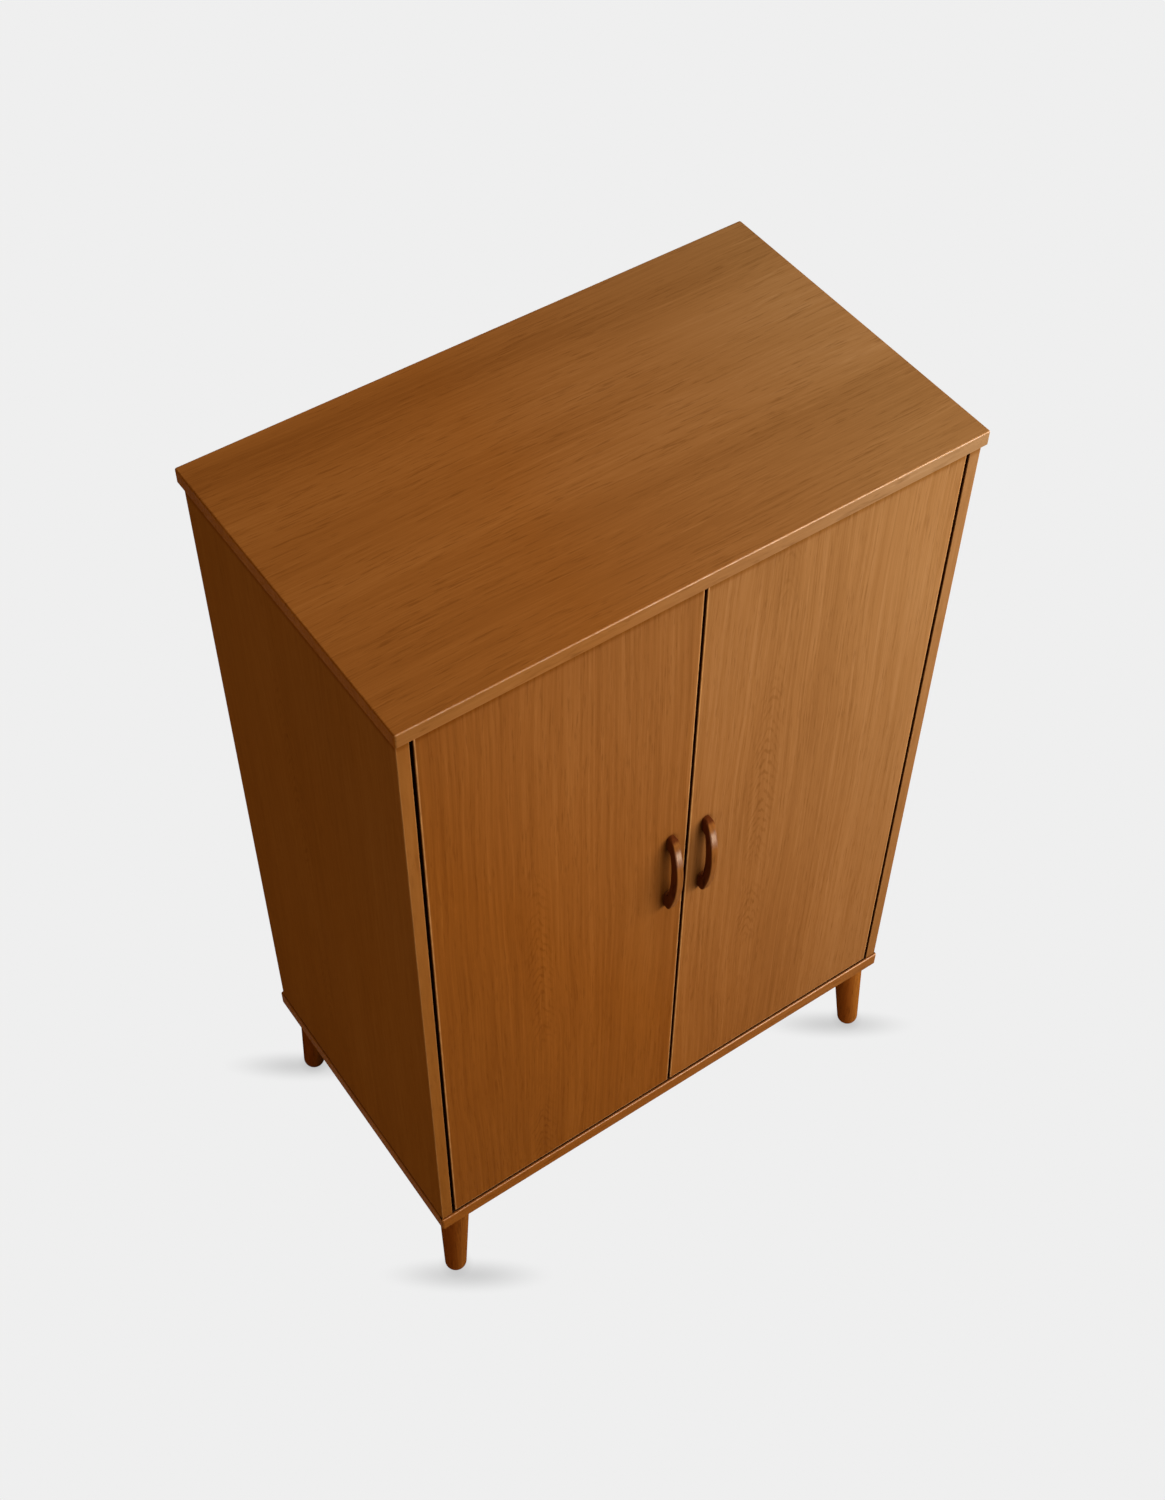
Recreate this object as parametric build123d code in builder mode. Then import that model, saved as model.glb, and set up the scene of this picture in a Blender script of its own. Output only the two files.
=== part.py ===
import os
from math import hypot

from build123d import *

# Shoe cabinet on four splayed legs, with two doors set between its sides.
# X runs from left to right, Y from front to back and Z up. The origin is on the floor, in the
# middle of the overall width and depth.

# Overall sizes of the top board and the whole height
cabinet_width = 720.0
cabinet_depth = 425.0
cabinet_height = 1150.0
leg_height = 145.0

# Board thicknesses
top_thickness = 18.0
bottom_thickness = 24.0
side_thickness = 15.0
door_thickness = 15.0
shelf_thickness = 16.0
back_thickness = 5.0

# How far the top and bottom boards stand out past the sides
top_side_overhang = 3.0
top_front_overhang = 6.0
top_back_overhang = 10.0
bottom_side_overhang = 2.0
bottom_front_overhang = 3.0
bottom_back_overhang = 5.0

# Rounded corners and edges of the boards
board_corner_radius = 2.5
board_edge_radius = 2.0
arris_radius = 1.0

# Gaps round the doors
side_gap = 4.5
centre_gap = 4.0
door_end_gap = 3.0

# Back board and its groove
groove_depth = 6.0
groove_inset = 12.0
groove_clearance = 0.2
back_end_clearance = 1.0

# Shelves and their pins
shelf_names = ["lower_shelf", "fixed_shelf", "middle_shelf", "upper_shelf"]
shelf_front_gap = 12.0
shelf_end_clearance = 0.5
shelf_back_clearance = 0.5
pin_radius = 2.5
pin_depth = 9.0
pin_reach = 9.0
pin_inset = 40.0
pin_pitch = 32.0
pin_rest_gap = 0.05

# Dowels that join the boards
dowel_radius = 4.0
dowel_depth_in_face = 10.0
dowel_depth_in_end = 20.0
dowel_end_clearance = 0.5
dowel_inset = 60.0

# Bow handles
handle_length = 134.0
handle_width = 10.0
handle_projection = 23.0
handle_foot_length = 24.0
handle_end_depth = 9.5
handle_end_radius = 11.0
handle_finger_gap = 10.5
handle_foot_depth = 6.0
handle_foot_radius = 4.0
handle_edge_radius = 2.0
handle_corner_radius = 4.5
handle_inset = 22.5
handle_rise = 19.5

# Cup hinges: the pivot pin lies inside the cup, and a gooseneck arm reaches round the door's edge
swing_clearance = 2.0
hinge_end_distance = 110.0
pivot_from_front = 7.5
cup_radius = 17.5
cup_wall = 1.0
cup_floor_gap = 0.3
cup_offset = 11.5
flange_radius = 19.5
flange_thickness = 1.5
flange_width = 16.0
flange_height = 60.0
flange_shift = 6.0
hinge_pin_radius = 1.5
hinge_pin_clearance = 0.06
ear_radius = 3.2
ear_thickness = 2.0
ear_gap = 0.7
arm_width = 12.6
arm_thickness = 2.5
arm_clearance = 1.0
arm_length = 50.0
arm_bend_radius = 3.0
arm_crook_radius = 5.0
plate_height = 4.0
plate_length = 40.0
plate_setback = 37.0
wing_width = 16.0
wing_height = 48.0
wing_thickness = 2.0
small_corner_radius = 4.0

# Magnetic catch under the top board
catch_width = 60.0
catch_depth = 14.0
catch_height = 15.0
catch_ear_width = 13.0
catch_ear_thickness = 3.0
magnet_width = 12.0
magnet_depth = 8.0
magnet_height = 7.0
magnet_spacing = 20.0
magnet_gap = 0.3
strike_width = 15.0
strike_height = 11.0
strike_thickness = 1.5
strike_drop = 1.0

# Legs, their hanger bolts and the threaded inserts in the bottom board
leg_top_radius = 20.0
leg_foot_radius = 14.0
leg_foot_rounding = 13.0
leg_sole_cut = 2.0
leg_splay = 10.0
leg_inset_side = 30.0
leg_inset_front = 22.5
leg_inset_back = 36.0
bolt_radius = 4.0
bolt_depth_in_leg = 35.0
insert_radius = 6.0
insert_length = 18.0

# Room between pieces that are fixed together
fixed_fit = 0.05

# Heights
bottom_face = leg_height
carcass_floor = leg_height + bottom_thickness
carcass_ceiling = cabinet_height - top_thickness
side_height = carcass_ceiling - carcass_floor

# Depths, from the front of the handles to the back of the top board
overall_depth = cabinet_depth - top_front_overhang + handle_projection
door_face_y = handle_projection - overall_depth / 2
door_back_y = door_face_y + door_thickness
top_front_y = door_face_y - top_front_overhang
top_back_y = top_front_y + cabinet_depth
side_back_y = top_back_y - top_back_overhang
bottom_front_y = door_face_y - bottom_front_overhang
bottom_back_y = side_back_y + bottom_back_overhang
side_depth = side_back_y - door_face_y
back_face_y = side_back_y - groove_inset - back_thickness

# Widths
side_outer_x = cabinet_width / 2 - top_side_overhang
side_inner_x = side_outer_x - side_thickness
bottom_width = 2 * (side_outer_x + bottom_side_overhang)
inner_width = 2 * side_inner_x
door_width = (inner_width - 2 * side_gap - centre_gap) / 2
door_height = side_height - 2 * door_end_gap
door_hinge_edge_x = -side_inner_x + side_gap
door_free_edge_x = door_hinge_edge_x + door_width
side_middle_x = (side_outer_x + side_inner_x) / 2

# Shelf heights and depths
shelf_count = len(shelf_names)
fixed_shelf_number = shelf_names.index("fixed_shelf")
shelf_pitch = (side_height - shelf_count * shelf_thickness) / (shelf_count + 1) + shelf_thickness
first_shelf_floor = carcass_floor + shelf_pitch - shelf_thickness
shelf_floors = [first_shelf_floor + number * shelf_pitch for number in range(shelf_count)]
adjustable_shelves = [number for number in range(shelf_count) if number != fixed_shelf_number]
shelf_front_y = door_back_y + shelf_front_gap
shelf_back_y = back_face_y - shelf_back_clearance
shelf_depth = shelf_back_y - shelf_front_y
shelf_middle_y = (shelf_front_y + shelf_back_y) / 2
pin_rows_y = [shelf_front_y + pin_inset, shelf_back_y - pin_inset]
pin_drop = pin_radius + pin_rest_gap

# Hinge geometry: the pivot stands far enough from the door's edge for its front corner to pass the side
pivot_from_back = door_thickness - pivot_from_front
free_gap = side_gap - swing_clearance
pivot_inset = (pivot_from_front**2 - free_gap**2) / (2 * free_gap)
pivot_to_side = pivot_inset + side_gap
corner_reach = hypot(pivot_inset, max(pivot_from_front, pivot_from_back))
flange_reach = hypot(flange_radius - cup_offset, pivot_from_back + flange_thickness)
edge_reach = max(corner_reach, flange_reach)
arm_reach = edge_reach + arm_clearance + arm_thickness / 2
cup_depth = pivot_from_back + ear_radius + cup_floor_gap + cup_wall
arm_x = plate_height + arm_thickness / 2 - pivot_to_side
pivot_x = door_hinge_edge_x + pivot_inset
pivot_y = door_face_y + pivot_from_front
door_floor = carcass_floor + door_end_gap
door_top = door_floor + door_height
door_middle = door_floor + door_height / 2
hinge_heights = [door_floor + hinge_end_distance, door_middle, door_top - hinge_end_distance]
hinge_places = [(pivot_x, pivot_y, height) for height in hinge_heights]
plate_y = plate_setback + pivot_from_back

# Catch: its magnets stand just behind the strike plates on the doors
strike_x = magnet_spacing / 2
strike_z = door_top - strike_drop - strike_height / 2
catch_front_y = door_back_y + strike_thickness + magnet_gap
catch_middle_y = catch_front_y + catch_depth / 2

# Bores for the dowels, along X for the shelf and along Z for the top and bottom boards
dowel_rows_y = [door_face_y + dowel_inset + door_thickness, side_back_y - dowel_inset]
side_centres = [-side_middle_x, side_middle_x]
upright_dowels = [(x, y) for x in side_centres for y in dowel_rows_y]
shelf_dowel_height = shelf_floors[fixed_shelf_number] + shelf_thickness / 2


os.makedirs("parts", exist_ok=True)


def facing(origin, direction):
    return Plane(origin=origin, z_dir=direction)


def dowel_bore(depth):
    Hole(dowel_radius + fixed_fit, depth + dowel_end_clearance)


# Top board, with a groove for the back board and bores for the dowels in its underside
with BuildPart() as top_panel:
    with BuildSketch(Plane.XY.offset(carcass_ceiling)):
        with Locations((0, (top_front_y + top_back_y) / 2)):
            RectangleRounded(cabinet_width, cabinet_depth, board_corner_radius)
    extrude(amount=top_thickness)
    fillet(top_panel.edges().group_by(Axis.Z)[-1], board_edge_radius)
    with BuildSketch(Plane.XY.offset(carcass_ceiling)):
        with Locations((0, back_face_y + back_thickness / 2)):
            Rectangle(inner_width + 2 * groove_depth, back_thickness + 2 * groove_clearance)
    extrude(amount=groove_depth, mode=Mode.SUBTRACT)
    with Locations(*[facing((x, y, carcass_ceiling), (0, 0, -1)) for x, y in upright_dowels]):
        dowel_bore(dowel_depth_in_face)
top_panel.part.label = "top_panel"
export_step(top_panel.part, "parts/top_panel.step")

# Bottom board, with the same groove and bores in its top and holes for the leg inserts underneath
leg_top_x = bottom_width / 2 - leg_inset_side
leg_top_front_y = bottom_front_y + leg_inset_front
leg_top_back_y = bottom_back_y - leg_inset_back
leg_tops = [(x, y) for y in (leg_top_front_y, leg_top_back_y) for x in (-leg_top_x, leg_top_x)]
with BuildPart() as bottom_panel:
    with BuildSketch(Plane.XY.offset(bottom_face)):
        with Locations((0, (bottom_front_y + bottom_back_y) / 2)):
            RectangleRounded(bottom_width, bottom_back_y - bottom_front_y, board_corner_radius)
    extrude(amount=bottom_thickness)
    fillet(bottom_panel.edges().group_by(Axis.Z)[-1], board_edge_radius)
    fillet(bottom_panel.edges().group_by(Axis.Z)[0], board_edge_radius)
    with BuildSketch(Plane.XY.offset(carcass_floor)):
        with Locations((0, back_face_y + back_thickness / 2)):
            Rectangle(inner_width + 2 * groove_depth, back_thickness + 2 * groove_clearance)
    extrude(amount=-groove_depth, mode=Mode.SUBTRACT)
    with Locations(*[facing((x, y, carcass_floor), (0, 0, 1)) for x, y in upright_dowels]):
        dowel_bore(dowel_depth_in_face)
    with Locations(*[facing((x, y, bottom_face), (0, 0, -1)) for x, y in leg_tops]):
        Hole(insert_radius + fixed_fit, insert_length + fixed_fit)
bottom_panel.part.label = "bottom_panel"
export_step(bottom_panel.part, "parts/bottom_panel.step")

# Left side board: grooved for the back board, bored for dowels and for the shelf pins, with one spare row
pin_holes = [
    (y, shelf_floors[number] - pin_drop + step * pin_pitch)
    for number in adjustable_shelves
    for y in pin_rows_y
    for step in (0, 1)
]
with BuildPart() as left_side_panel:
    with BuildSketch(Plane.XY.offset(carcass_floor)):
        with Locations((-side_middle_x, door_face_y + side_depth / 2)):
            Rectangle(side_thickness, side_depth)
    extrude(amount=side_height)
    front_arrises = left_side_panel.edges().filter_by(Axis.Z).group_by(Axis.Y)[0]
    fillet(front_arrises, arris_radius)
    with BuildSketch(Plane.XY.offset(carcass_floor)):
        with Locations((-side_inner_x, back_face_y + back_thickness / 2)):
            Rectangle(2 * groove_depth, back_thickness + 2 * groove_clearance)
    extrude(amount=side_height, mode=Mode.SUBTRACT)
    with Locations(*[facing((-side_middle_x, y, carcass_ceiling), (0, 0, 1)) for y in dowel_rows_y]):
        dowel_bore(dowel_depth_in_end)
    with Locations(*[facing((-side_middle_x, y, carcass_floor), (0, 0, -1)) for y in dowel_rows_y]):
        dowel_bore(dowel_depth_in_end)
    with Locations(*[facing((-side_inner_x, y, shelf_dowel_height), (1, 0, 0)) for y in dowel_rows_y]):
        dowel_bore(dowel_depth_in_face)
    with Locations(*[facing((-side_inner_x, y, z), (1, 0, 0)) for y, z in pin_holes]):
        Hole(pin_radius + fixed_fit, pin_depth + fixed_fit)
left_side_panel.part.label = "left_side_panel"
export_step(left_side_panel.part, "parts/left_side_panel.step")

# Back board, a thin sheet in the grooves
back_reach = groove_depth - back_end_clearance
with BuildPart() as back_panel:
    with BuildSketch(Plane.XZ.offset(-back_face_y)):
        with Locations((0, carcass_floor + side_height / 2)):
            Rectangle(inner_width + 2 * back_reach, side_height + 2 * back_reach)
    extrude(amount=-back_thickness)
back_panel.part.label = "back_panel"
export_step(back_panel.part, "parts/back_panel.step")

# Shelves: the fixed one fills the width and is bored for dowels, the others lie loose on pins
for number, shelf_name in enumerate(shelf_names):
    is_fixed = number == fixed_shelf_number
    shelf_width = inner_width if is_fixed else inner_width - 2 * shelf_end_clearance
    with BuildPart() as shelf:
        with BuildSketch(Plane.XY.offset(shelf_floors[number])):
            with Locations((0, shelf_middle_y)):
                Rectangle(shelf_width, shelf_depth)
        extrude(amount=shelf_thickness)
        fillet(shelf.edges().filter_by(Axis.X).group_by(Axis.Y)[0], arris_radius)
        if is_fixed:
            for side in (-1, 1):
                end_x = side * side_inner_x
                with Locations(*[facing((end_x, y, shelf_dowel_height), (side, 0, 0)) for y in dowel_rows_y]):
                    dowel_bore(dowel_depth_in_end)
    shelf.part.label = shelf_name
    export_step(shelf.part, f"parts/{shelf_name}.step")

# Dowels between the boards
dowel_length = dowel_depth_in_face + dowel_depth_in_end
with BuildPart() as carcass_dowels:
    with BuildSketch(Plane.XY.offset(carcass_ceiling - dowel_depth_in_end)):
        with Locations(*upright_dowels):
            Circle(dowel_radius)
    extrude(amount=dowel_length)
    with BuildSketch(Plane.XY.offset(carcass_floor - dowel_depth_in_face)):
        with Locations(*upright_dowels):
            Circle(dowel_radius)
    extrude(amount=dowel_length)
carcass_dowels.part.label = "carcass_dowels"
export_step(carcass_dowels.part, "parts/carcass_dowels.step")

with BuildPart() as shelf_dowels:
    for side in (-1, 1):
        with BuildSketch(Plane.YZ.offset(side * (side_inner_x + dowel_depth_in_face))):
            with Locations(*[(y, shelf_dowel_height) for y in dowel_rows_y]):
                Circle(dowel_radius)
        extrude(amount=-side * dowel_length)
shelf_dowels.part.label = "shelf_dowels"
export_step(shelf_dowels.part, "parts/shelf_dowels.step")

# Shelf pins: plain pegs, half in the side board and half under the shelf
pin_places = [(y, shelf_floors[number] - pin_drop) for number in adjustable_shelves for y in pin_rows_y]
with BuildPart() as shelf_pins:
    for side in (-1, 1):
        with BuildSketch(Plane.YZ.offset(side * (side_inner_x + pin_depth))):
            with Locations(*pin_places):
                Circle(pin_radius)
        extrude(amount=-side * (pin_depth + pin_reach))
shelf_pins.part.label = "shelf_pins"
export_step(shelf_pins.part, "parts/shelf_pins.step")

# Left door: a flat slab with bores for the hinge cups
with BuildPart() as left_door:
    with BuildSketch(Plane.XY.offset(door_floor)):
        with Locations((door_hinge_edge_x + door_width / 2, door_face_y + door_thickness / 2)):
            Rectangle(door_width, door_thickness)
    extrude(amount=door_height)
    fillet(left_door.faces().sort_by(Axis.Y)[0].edges(), arris_radius)
    with Locations(*[facing((pivot_x + cup_offset, door_back_y, z), (0, 1, 0)) for z in hinge_heights]):
        Hole(cup_radius, cup_depth)
left_door.part.label = "left_door"
export_step(left_door.part, "parts/left_door.step")

# Left bow handle: a bowed bar on two feet, drawn from the side with x outwards and y upwards
handle_x = door_free_edge_x - handle_inset
handle_centre_height = door_middle + handle_rise
handle_side = Plane(
    origin=(handle_x + handle_width / 2, door_face_y, handle_centre_height),
    x_dir=(0, -1, 0),
    z_dir=(-1, 0, 0),
)
handle_front = Plane(
    origin=(handle_x, door_face_y, handle_centre_height),
    x_dir=(1, 0, 0),
    z_dir=(0, -1, 0),
)
half_length = handle_length / 2
inner_half = half_length - handle_foot_length
with BuildPart() as left_handle:
    with BuildSketch(handle_side) as handle_profile:
        with BuildLine():
            Polyline((0, inner_half), (0, half_length), (handle_end_depth, half_length))
            ThreePointArc(
                (handle_end_depth, half_length), (handle_projection, 0), (handle_end_depth, -half_length)
            )
            Polyline((handle_end_depth, -half_length), (0, -half_length), (0, -inner_half))
            Line((0, -inner_half), (handle_foot_depth, -inner_half))
            ThreePointArc(
                (handle_foot_depth, -inner_half), (handle_finger_gap, 0), (handle_foot_depth, inner_half)
            )
            Line((handle_foot_depth, inner_half), (0, inner_half))
        make_face()
        for depth, radius in ((handle_end_depth, handle_end_radius), (handle_foot_depth, handle_foot_radius)):
            corners = handle_profile.vertices().filter_by(lambda corner: abs(corner.X - depth) < fixed_fit)
            fillet(corners, radius)
    extrude(amount=handle_width)
    cheek_edges = left_handle.faces().filter_by(Axis.X).edges()
    long_edges = cheek_edges.filter_by(lambda edge: edge.center().Y < door_face_y - fixed_fit)
    fillet(long_edges, handle_edge_radius)
    # Seen from the front, both ends are rounded
    with BuildSketch(handle_front):
        RectangleRounded(handle_width, handle_length, handle_corner_radius)
    extrude(amount=handle_projection, mode=Mode.INTERSECT)
left_handle.part.label = "left_handle"
export_step(left_handle.part, "parts/left_handle.step")

# One hinge, drawn round its pivot with X towards the middle of the door and Y towards the back
cup_face = Plane(origin=(cup_offset, pivot_from_back, 0), x_dir=(1, 0, 0), z_dir=(0, 1, 0))
cup_rim = cup_face.offset(flange_thickness)
ear_inner = arm_width / 2 + ear_gap
with BuildPart() as hinge_cup:
    with BuildSketch(cup_face):
        Circle(cup_radius - fixed_fit)
    extrude(amount=-(cup_depth - fixed_fit))
    with BuildSketch(cup_face):
        Circle(flange_radius)
        with Locations((flange_shift, 0)):
            RectangleRounded(flange_width, flange_height, small_corner_radius)
    extrude(amount=flange_thickness)
    with BuildSketch(cup_rim):
        Circle(cup_radius - cup_wall)
    extrude(amount=-(flange_thickness + cup_depth - cup_wall), mode=Mode.SUBTRACT)
    for side in (-1, 1):
        with BuildSketch(Plane.XY.offset(side * ear_inner)):
            Circle(ear_radius)
            with Locations((0, (pivot_from_back - cup_depth + cup_wall / 2) / 2)):
                Rectangle(2 * ear_radius, cup_depth - cup_wall / 2 - pivot_from_back)
        extrude(amount=side * ear_thickness)
    with BuildSketch(Plane.XY.offset(-ear_inner - ear_thickness)):
        Circle(hinge_pin_radius + fixed_fit / 2)
    extrude(amount=2 * (ear_inner + ear_thickness), mode=Mode.SUBTRACT)

with BuildPart() as hinge_pin:
    with BuildSketch(Plane.XY.offset(-ear_inner - ear_thickness)):
        Circle(hinge_pin_radius)
    extrude(amount=2 * (ear_inner + ear_thickness))

arm_back_y = arm_reach + arm_length
with BuildPart() as hinge_arm:
    with BuildSketch(Plane.XY.offset(-arm_width / 2)):
        with BuildLine():
            FilletPolyline(
                (0, 0),
                (arm_reach, 0),
                (arm_reach, arm_reach),
                (arm_x, arm_reach),
                (arm_x, arm_back_y),
                radius=[arm_bend_radius, arm_crook_radius, arm_bend_radius],
            )
        trace(line_width=arm_thickness)
        Circle(ear_radius)
    extrude(amount=arm_width)
    with BuildSketch(Plane.XY.offset(-arm_width / 2)):
        Circle(hinge_pin_radius + hinge_pin_clearance)
    extrude(amount=arm_width, mode=Mode.SUBTRACT)

plate_face = Plane(origin=(-pivot_to_side, plate_y, 0), x_dir=(0, 1, 0), z_dir=(1, 0, 0))
with BuildPart() as hinge_plate:
    with BuildSketch(plate_face):
        RectangleRounded(wing_width, wing_height, small_corner_radius)
    extrude(amount=wing_thickness)
    with BuildSketch(plate_face):
        Rectangle(plate_length, arm_width)
    extrude(amount=plate_height)

with BuildPart() as left_hinge_cups:
    with Locations(*hinge_places):
        add(hinge_cup.part)
left_hinge_cups.part.label = "left_hinge_cups"
export_step(left_hinge_cups.part, "parts/left_hinge_cups.step")

with BuildPart() as left_hinge_pins:
    with Locations(*hinge_places):
        add(hinge_pin.part)
left_hinge_pins.part.label = "left_hinge_pins"
export_step(left_hinge_pins.part, "parts/left_hinge_pins.step")

with BuildPart() as left_hinge_arms:
    with Locations(*hinge_places):
        add(hinge_arm.part)
left_hinge_arms.part.label = "left_hinge_arms"
export_step(left_hinge_arms.part, "parts/left_hinge_arms.step")

with BuildPart() as left_hinge_plates:
    with Locations(*hinge_places):
        add(hinge_plate.part)
left_hinge_plates.part.label = "left_hinge_plates"
export_step(left_hinge_plates.part, "parts/left_hinge_plates.step")

# Strike plate on the inside of the left door
strike_seat = Plane((-strike_x, door_back_y + strike_thickness, strike_z), x_dir=(1, 0, 0), z_dir=(0, 1, 0))
with BuildPart() as left_strike_plate:
    with BuildSketch(strike_seat):
        Rectangle(strike_width, strike_height)
    extrude(amount=-strike_thickness)
left_strike_plate.part.label = "left_strike_plate"
export_step(left_strike_plate.part, "parts/left_strike_plate.step")

# Right-hand copies of everything on the left
left_hand_pieces = [
    left_side_panel,
    left_door,
    left_handle,
    left_hinge_cups,
    left_hinge_pins,
    left_hinge_arms,
    left_hinge_plates,
    left_strike_plate,
]
for left_piece in left_hand_pieces:
    right_name = left_piece.part.label.replace("left", "right")
    with BuildPart() as right_piece:
        mirror(left_piece.part, about=Plane.YZ)
    right_piece.part.label = right_name
    export_step(right_piece.part, f"parts/{right_name}.step")

# Magnetic catch behind the tops of both doors
magnet_centres = [(side * strike_x, strike_z) for side in (-1, 1)]
with BuildPart() as catch_housing:
    with BuildSketch(Plane.XY.offset(carcass_ceiling)):
        with Locations((0, catch_middle_y)):
            Rectangle(catch_width, catch_depth)
    extrude(amount=-catch_ear_thickness)
    with BuildSketch(Plane.XY.offset(carcass_ceiling)):
        with Locations((0, catch_middle_y)):
            Rectangle(catch_width - 2 * catch_ear_width, catch_depth)
    extrude(amount=-catch_height)
    with BuildSketch(Plane.XZ.offset(-catch_front_y)):
        with Locations(*magnet_centres):
            Rectangle(magnet_width + 2 * fixed_fit, magnet_height + 2 * fixed_fit)
    extrude(amount=-(magnet_depth + fixed_fit), mode=Mode.SUBTRACT)
catch_housing.part.label = "catch_housing"
export_step(catch_housing.part, "parts/catch_housing.step")

with BuildPart() as catch_magnets:
    with BuildSketch(Plane.XZ.offset(-catch_front_y)):
        with Locations(*magnet_centres):
            Rectangle(magnet_width, magnet_height)
    extrude(amount=-magnet_depth)
catch_magnets.part.label = "catch_magnets"
export_step(catch_magnets.part, "parts/catch_magnets.step")

# Legs: turned on a slanted axis, cut level at the bottom board and at the floor
leg_names = ["front_left_leg", "front_right_leg", "back_left_leg", "back_right_leg"]
for leg_name, (top_x, top_y) in zip(leg_names, leg_tops):
    out_x = leg_splay if top_x > 0 else -leg_splay
    out_y = leg_splay if top_y > 0 else -leg_splay
    foot = Vector(top_x + out_x, top_y + out_y, 0)
    leg_axis = Plane(origin=foot, z_dir=Vector(top_x, top_y, leg_height) - foot)
    leg_section = Plane(origin=foot, x_dir=leg_axis.x_dir, z_dir=-leg_axis.y_dir)
    axis_length = hypot(leg_height, leg_splay, leg_splay)
    with BuildPart() as leg:
        with BuildSketch(leg_section) as leg_profile:
            with BuildLine():
                Polyline(
                    (0, -leg_sole_cut),
                    (leg_foot_radius, -leg_sole_cut),
                    (leg_top_radius, axis_length),
                    (leg_top_radius, axis_length + leg_sole_cut),
                    (0, axis_length + leg_sole_cut),
                    close=True,
                )
            make_face()
            foot_corner = leg_profile.vertices().sort_by(Axis.Y)[:2].sort_by(Axis.X)[-1]
            fillet(foot_corner, leg_foot_rounding)
        revolve(axis=Axis(foot, leg_axis.z_dir))
        split(bisect_by=Plane.XY, keep=Keep.TOP)
        split(bisect_by=Plane.XY.offset(leg_height), keep=Keep.BOTTOM)
        with Locations(facing((top_x, top_y, leg_height), (0, 0, 1))):
            Hole(bolt_radius + fixed_fit, bolt_depth_in_leg + fixed_fit)
    leg.part.label = leg_name
    export_step(leg.part, f"parts/{leg_name}.step")

# Threaded inserts in the bottom board, and the hanger bolts that join them to the legs
with BuildPart() as leg_inserts:
    with BuildSketch(Plane.XY.offset(bottom_face)):
        with Locations(*leg_tops):
            Circle(insert_radius)
    extrude(amount=insert_length)
    with BuildSketch(Plane.XY.offset(bottom_face)):
        with Locations(*leg_tops):
            Circle(bolt_radius + fixed_fit)
    extrude(amount=insert_length, mode=Mode.SUBTRACT)
leg_inserts.part.label = "leg_inserts"
export_step(leg_inserts.part, "parts/leg_inserts.step")

with BuildPart() as leg_bolts:
    with BuildSketch(Plane.XY.offset(bottom_face - bolt_depth_in_leg)):
        with Locations(*leg_tops):
            Circle(bolt_radius)
    extrude(amount=bolt_depth_in_leg + insert_length)
leg_bolts.part.label = "leg_bolts"
export_step(leg_bolts.part, "parts/leg_bolts.step")
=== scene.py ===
import math

import bpy
from mathutils import Matrix, Vector


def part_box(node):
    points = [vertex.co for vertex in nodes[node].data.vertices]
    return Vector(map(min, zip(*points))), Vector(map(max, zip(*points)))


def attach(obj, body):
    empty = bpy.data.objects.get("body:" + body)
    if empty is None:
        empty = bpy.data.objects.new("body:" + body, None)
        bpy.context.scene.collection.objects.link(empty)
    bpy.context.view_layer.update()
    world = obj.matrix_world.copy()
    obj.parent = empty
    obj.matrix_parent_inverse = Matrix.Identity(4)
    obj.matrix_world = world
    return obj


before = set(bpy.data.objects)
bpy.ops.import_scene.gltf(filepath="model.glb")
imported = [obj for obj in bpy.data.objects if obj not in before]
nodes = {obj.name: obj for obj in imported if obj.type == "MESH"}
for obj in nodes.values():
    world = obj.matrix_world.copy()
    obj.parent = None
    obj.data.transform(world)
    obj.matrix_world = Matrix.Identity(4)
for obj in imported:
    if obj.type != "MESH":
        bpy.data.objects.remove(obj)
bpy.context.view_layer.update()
scene = bpy.context.scene
bpy.ops.object.select_all(action="DESELECT")
print("frame loaded with", len(nodes), "nodes")


# links an output to a socket, or sets a plain number, colour or vector on it
def feed(tree, socket, value):
    if isinstance(value, bpy.types.NodeSocket):
        tree.links.new(value, socket)
    elif value is not None:
        socket.default_value = value


def calc(tree, operation, first, second=None, clamp=False):
    node = tree.nodes.new("ShaderNodeMath")
    node.operation = operation
    node.use_clamp = clamp
    feed(tree, node.inputs[0], first)
    feed(tree, node.inputs[1], second)
    return node.outputs[0]


def product(tree, *values):
    total = values[0]
    for value in values[1:]:
        total = calc(tree, "MULTIPLY", total, value)
    return total


def weigh(tree, *terms):  # sum of value times weight
    total = None
    for value, weight in terms:
        part = calc(tree, "MULTIPLY", value, weight)
        total = part if total is None else calc(tree, "ADD", total, part)
    return total


def centred(tree, value):  # noise runs from 0 to 1, so this swings about 0
    return calc(tree, "SUBTRACT", value, 0.5)


def vecCalc(tree, operation, first, second=None):
    node = tree.nodes.new("ShaderNodeVectorMath")
    node.operation = operation
    feed(tree, node.inputs[0], first)
    feed(tree, node.inputs[1], second)
    return node.outputs["Value" if operation in ("LENGTH", "DOT_PRODUCT") else "Vector"]


def remap(tree, value, low, high, toLow=0.0, toHigh=1.0, smooth=True):
    node = tree.nodes.new("ShaderNodeMapRange")
    node.interpolation_type = "SMOOTHSTEP" if smooth else "LINEAR"
    settings = {"Value": value, "From Min": low, "From Max": high, "To Min": toLow, "To Max": toHigh}
    for label, setting in settings.items():
        feed(tree, node.inputs[label], setting)
    return node.outputs["Result"]


def falloff(tree, value, full, none):  # 1 up to full, then smoothly down to 0 at none
    return remap(tree, value, full, none, 1.0, 0.0)


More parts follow.
